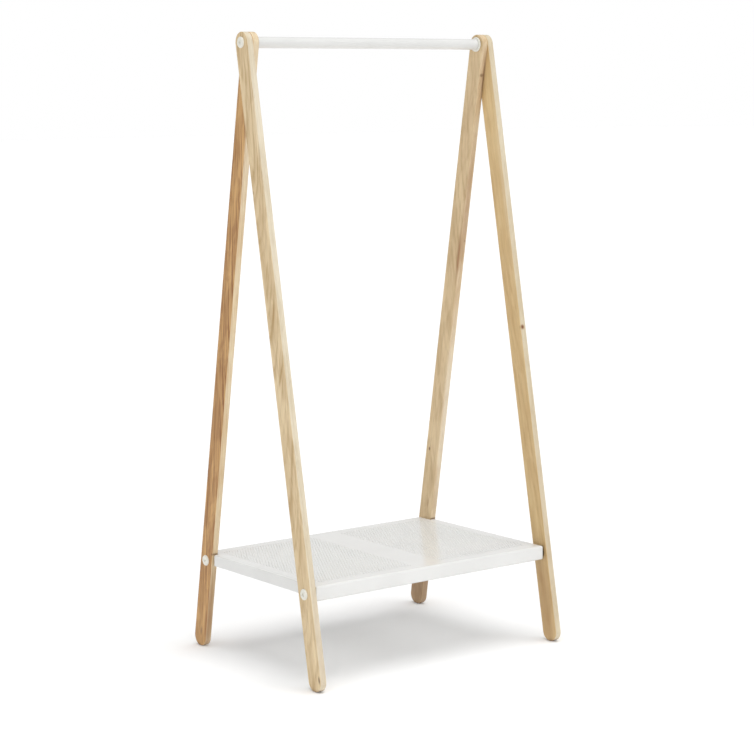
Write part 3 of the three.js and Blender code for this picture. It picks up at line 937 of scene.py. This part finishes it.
def add_bends(bm):
    """The bends from the flat sheet down into the walls, on both faces of the sheet.

    A side of the outline takes a further point where the flat sheet has one, and over a screw hole.
    """
    end_x, notch_x = SHELF_END - BEND, NOTCH_WALL - BEND
    sheet_points = {
        1: (end_x, -FIELD_EDGE),
        3: (notch_x, FIELD_EDGE),
        5: (-notch_x, FIELD_EDGE),
        7: (-end_x, -FIELD_EDGE),
    }
    screw_points = {1: -SCREW_OFFSET, 3: SCREW_OFFSET, 5: SCREW_OFFSET, 7: -SCREW_OFFSET}
    for skin in (0.0, SHEET):
        radius = BEND - skin
        rings = []
        for angle in quarter(BEND_STEPS):
            inset = skin + radius * (1 - math.sin(angle))
            z = SHELF_TOP - skin - radius * (1 - math.cos(angle))
            rings.append([(x, y, z) for x, y in tray_outline(inset)])
        for step, (upper_ring, lower_ring) in enumerate(zip(rings, rings[1:]), 1):
            for i in range(len(upper_ring)):
                j = (i + 1) % len(upper_ring)
                upper, lower = [upper_ring[i], upper_ring[j]], [lower_ring[j], lower_ring[i]]
                if step == 1 and i in sheet_points:
                    upper.insert(1, (*sheet_points[i], SHELF_TOP - skin))
                if step == BEND_STEPS and i in screw_points:
                    x, _, z = lower_ring[i]
                    lower.insert(1, (x, screw_points[i], z))
                add_face(bm, upper + lower)


def add_end_wall(bm, sign, x, outer, inner, offset):
    """An end wall with its screw hole and its lower edge.

    outer and inner are its Y range on the outside and inside of the sheet, and offset is the screw's Y.
    """
    inner_x = x - SHEET
    at_front = offset < 0
    fold_y = inner[0] if at_front else inner[1]
    edge_range = (inner[0], outer[1]) if at_front else (outer[0], inner[1])
    hole = ((offset, SCREW_HEIGHT), SCREW_BORE, SCREW_HOLE_SIDES)
    low, high = SHELF_END_BOTTOM, WALL_TOP
    *outer_parts, rim = holed_cell((outer[0], low), (outer[1], high), *hole, [fold_y])
    *inner_parts, _ = holed_cell((inner[0], low), (inner[1], high), *hole)
    for face_x, parts in ((x, outer_parts), (inner_x, inner_parts)):
        for part in parts:
            add_face(bm, [(sign * face_x, y, z) for y, z in part])
    for a, b in zip(rim, rim[1:] + rim[:1]):
        add_face(bm, [(sign * x, *a), (sign * x, *b), (sign * inner_x, *b), (sign * inner_x, *a)])
    edge = [(x, edge_range[0]), (x, offset), (x, edge_range[1])]
    edge += [(inner_x, inner[1]), (inner_x, offset), (inner_x, inner[0])]
    add_face(bm, [(sign * edge_x, y, low) for edge_x, y in edge])


def add_notch_wall(bm, sign):
    """The short wall that closes a corner cut-out towards the front."""
    low, high = SHELF_END_BOTTOM, WALL_TOP
    edge = []
    for skin in (0.0, SHEET):
        end, notch, y = SHELF_END - skin, NOTCH_WALL - skin, NOTCH_FRONT - skin
        add_face(bm, [(sign * x, y, z) for x, z in ((end, high), (notch, high), (notch, low), (end, low))])
        edge += [(end, y), (notch, y)] if skin == 0 else [(notch, y), (end, y)]
    add_face(bm, [(sign * x, y, low) for x, y in edge])


def add_end_walls(bm):
    """The walls of both ends and of both corner cut-outs."""
    edge, inner_edge = SHELF_EDGE, SHELF_EDGE - SHEET
    notch, inner_notch = NOTCH_FRONT, NOTCH_FRONT - SHEET
    for sign in (1, -1):
        add_end_wall(bm, sign, SHELF_END, (-edge, notch), (-inner_edge, inner_notch), -SCREW_OFFSET)
        add_end_wall(bm, sign, NOTCH_WALL, (notch, edge), (inner_notch, inner_edge), SCREW_OFFSET)
        add_notch_wall(bm, sign)


def fold_section(skin):
    """Y and Z from a long wall's side round its fold to the tip of the flange, skin mm into the sheet."""
    radius = BEND - skin
    points = [(SHELF_EDGE - skin, SHELF_END_BOTTOM)]
    for angle in quarter(BEND_STEPS):
        y = SHELF_EDGE - BEND + radius * math.cos(angle)
        points.append((y, SHELF_BOTTOM + BEND - radius * math.sin(angle)))
    return points + [(SHELF_EDGE - FLANGE, SHELF_BOTTOM + skin)]


def add_long_walls(bm):
    """The front and rear walls, which end in a fold inwards."""
    outer, inner = fold_section(0.0), fold_section(SHEET)
    for sign, end in ((-1, SHELF_END), (1, NOTCH_WALL)):
        inner_end = end - SHEET
        for x, y in ((end, SHELF_EDGE), (inner_end, SHELF_EDGE - SHEET)):
            corners = ((-x, WALL_TOP), (x, WALL_TOP), (x, SHELF_END_BOTTOM), (-x, SHELF_END_BOTTOM))
            add_face(bm, [(corner_x, sign * y, z) for corner_x, z in corners])
        for section in (outer, inner):
            for index, ((ya, za), (yb, zb)) in enumerate(zip(section, section[1:])):
                meets_wall = section is inner and index == 0
                upper = (-end, -inner_end, inner_end, end) if meets_wall else (-end, end)
                strip = [(x, sign * ya, za) for x in upper]
                add_face(bm, strip + [(end, sign * yb, zb), (-end, sign * yb, zb)])
        tip = [(-end, *outer[-1]), (end, *outer[-1]), (end, *inner[-1]), (-end, *inner[-1])]
        add_face(bm, [(x, sign * y, z) for x, y, z in tip])
        for x in (-end, end):
            add_face(bm, [(x, sign * y, z) for y, z in outer + inner[::-1]])


def build_tray():
    """The shelf, folded from one sheet, with real holes in its two perforated fields."""
    bm = bmesh.new()
    add_fields(bm)
    add_plain_sheet(bm)
    add_bends(bm)
    add_end_walls(bm)
    add_long_walls(bm)
    piece = link("perforated_shelf_tray", bm, [coat])
    return stand_for(piece, "shelf_tray")


def rib_section(skin):
    """Half of the channel's section, skin mm into its sheet, from the flange's end to the crown's middle."""
    points = [(RIB_HALF_WIDTH, -skin)]
    radius = RIB_FOLD - skin
    for angle in quarter(RIB_FOLD_STEPS):
        x = RIB_HALF_CROWN + RIB_FOLD - radius * math.sin(angle)
        points.append((x, -RIB_FOLD + radius * math.cos(angle)))
    radius = RIB_FOLD - RIB_SHEET + skin
    for angle in quarter(RIB_FOLD_STEPS):
        x = RIB_HALF_CROWN - RIB_FOLD + RIB_SHEET + radius * math.cos(angle)
        points.append((x, -RIB_DEPTH + RIB_FOLD - radius * math.sin(angle)))
    return points + [(0.0, -RIB_DEPTH + RIB_SHEET - skin)]


def build_rib():
    """The hat channel under the plain middle strip, with rounded folds."""
    upper, lower = rib_section(0.0), rib_section(RIB_SHEET)
    section = upper + [(-x, z) for x, z in reversed(upper[:-1])]
    section += [(-x, z) for x, z in lower] + lower[-2::-1]
    top = SHELF_TOP - SHEET - FIT_GAP
    length = SHELF_EDGE - BEND - FIT_GAP
    bm = bmesh.new()
    ends = []
    for y in (-length, length):
        ends.append([bm.verts.new((x, y, top + z)) for x, z in section])
    for i in range(len(section)):
        j = (i + 1) % len(section)
        bm.faces.new((ends[0][i], ends[0][j], ends[1][j], ends[1][i]))
    for ring in ends:
        bm.faces.new(ring)
    piece = link("shelf_hat_rib", bm, [coat])
    return stand_for(piece, "shelf_rib")


# ---------------------------------------------------------------- assembly

SHELF_SCREW = {"diameter": 6, "pitch": 1.0, "legs": 1}
RAIL_BOLT = {"diameter": 8, "pitch": 1.25, "legs": 2, "length": 65}
SHELF_SCREW_LENGTHS = {"front": 32, "rear": 27}
LEG_OUTER = {"front": FRONT_LEG_OUTER, "rear": REAR_LEG_OUTER}

for side in ("left", "right"):
    for end, length in SHELF_SCREW_LENGTHS.items():
        build_leg(side, end)
        build_glide(side, end)
        build_nut(side, end)
        names = (f"{side}_{end}_cap_screw", f"{side}_{end}_shelf_screw")
        build_screw(*names, side, LEG_OUTER[end], shelf_screw_place(end), length=length, **SHELF_SCREW)
    names = (f"{side}_cap_bolt", f"{side}_rail_bolt")
    build_screw(*names, side, FRONT_LEG_OUTER, (0, PIVOT_HEIGHT), **RAIL_BOLT)
    build_collar(side)
    build_spacer(side)
    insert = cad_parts[f"{side}_rail_insert"]
    insert.data.materials.clear()
    insert.data.materials.append(rubber)
build_rail()
build_tray()
build_rib()

# ---------------------------------------------------------------- floor, light, camera, in m

FLOOR_HALF_SIZE = 60.0
HORIZON_STRENGTH = 0.70
ZENITH_STRENGTH = 0.40
FADE_START = 0.18
FADE_END = 0.60
SUNS = (
    # name, direction towards the light, strength, apparent size in degrees
    ("overhead", (0.05, -0.15, 1.0), 1.78, 50),
    ("front", (0.15, -1.0, 0.65), 0.50, 60),
    ("left", (-1.0, -0.3, 0.60), 0.24, 70),
)
CAMERA_PLACE = (-3.2383, -4.3112, 1.4427)
CAMERA_YAW = 37.038  # degrees, turned from +Y towards +X
CAMERA_PITCH = -7.702
CAMERA_ROLL = -0.523
CAMERA_LENS = 99.456
SENSOR_WIDTH = 36.0
VIEW_DEPTH = 200.0


def build_floor():
    """A wide pale floor that catches the soft shadow."""
    mesh = bpy.data.meshes.new("floor")
    size = FLOOR_HALF_SIZE
    corners = [(-size, -size, 0), (size, -size, 0), (size, size, 0), (-size, size, 0)]
    mesh.from_pydata(corners, [], [(0, 1, 2, 3)])
    floor = bpy.data.objects.new("floor", mesh)
    bpy.context.scene.collection.objects.link(floor)
    material = bpy.data.materials.new("pale_floor")
    t = Tree(material)
    shader = t.node("ShaderNodeBsdfPrincipled", Base_Color=(0.95, 0.95, 0.95, 1), Roughness=0.8)
    shader.inputs["Specular IOR Level"].default_value = 0.0
    shader.inputs["Emission Color"].default_value = (1, 1, 1, 1)
    shader.inputs["Emission Strength"].default_value = 0.02
    t.output(shader)
    mesh.materials.append(material)


def add_sun(name, direction, strength, angle):
    """A soft light from far away; direction points from the rack towards the light."""
    data = bpy.data.lights.new(name, "SUN")
    data.energy = strength
    data.angle = math.radians(angle)
    light = bpy.data.objects.new(name, data)
    bpy.context.scene.collection.objects.link(light)
    light.rotation_euler = Vector(direction).to_track_quat("Z", "Y").to_euler()


def build_light():
    """A white studio: light all round, brighter near the horizon, and three wide soft lights."""
    scene = bpy.context.scene
    world = bpy.data.worlds.new("studio")
    world.use_nodes = True
    scene.world = world
    nodes, links = world.node_tree.nodes, world.node_tree.links
    nodes.clear()
    out = nodes.new("ShaderNodeOutputWorld")
    even = nodes.new("ShaderNodeBackground")
    even.inputs["Color"].default_value = (1, 1, 1, 1)
    coords = nodes.new("ShaderNodeTexCoord")
    split = nodes.new("ShaderNodeSeparateXYZ")
    height = nodes.new("ShaderNodeMapRange")
    height.interpolation_type = "SMOOTHSTEP"
    links.new(coords.outputs["Generated"], split.inputs[0])
    links.new(split.outputs["Z"], height.inputs["Value"])
    for key, value in (
        ("From Min", FADE_START),
        ("From Max", FADE_END),
        ("To Min", HORIZON_STRENGTH),
        ("To Max", ZENITH_STRENGTH),
    ):
        height.inputs[key].default_value = value
    links.new(height.outputs["Result"], even.inputs["Strength"])
    backdrop = nodes.new("ShaderNodeBackground")
    backdrop.inputs["Color"].default_value = (1, 1, 1, 1)
    backdrop.inputs["Strength"].default_value = 1.0
    path = nodes.new("ShaderNodeLightPath")
    choose = nodes.new("ShaderNodeMixShader")
    links.new(path.outputs["Is Camera Ray"], choose.inputs[0])
    links.new(even.outputs[0], choose.inputs[1])
    links.new(backdrop.outputs[0], choose.inputs[2])
    links.new(choose.outputs[0], out.inputs["Surface"])
    for sun in SUNS:
        add_sun(*sun)
    scene.view_settings.view_transform = "Standard"


def build_camera():
    """A camera in front of the rack and to its left, with a long lens."""
    yaw, pitch, roll = (math.radians(turn) for turn in (CAMERA_YAW, CAMERA_PITCH, CAMERA_ROLL))
    ahead = Vector((math.sin(yaw) * math.cos(pitch), math.cos(yaw) * math.cos(pitch), math.sin(pitch)))
    level = Vector((math.cos(yaw), -math.sin(yaw), 0))
    upright = level.cross(ahead)
    right = level * math.cos(roll) + upright * math.sin(roll)
    up = upright * math.cos(roll) - level * math.sin(roll)
    data = bpy.data.cameras.new("camera")
    data.sensor_width = SENSOR_WIDTH
    data.lens = CAMERA_LENS
    data.clip_end = VIEW_DEPTH
    camera = bpy.data.objects.new("camera", data)
    bpy.context.scene.collection.objects.link(camera)
    turn = Matrix((right, up, -ahead)).transposed().to_4x4()
    camera.matrix_world = Matrix.Translation(Vector(CAMERA_PLACE)) @ turn
    bpy.context.scene.camera = camera


build_floor()
build_light()
build_camera()

bpy.context.view_layer.update()
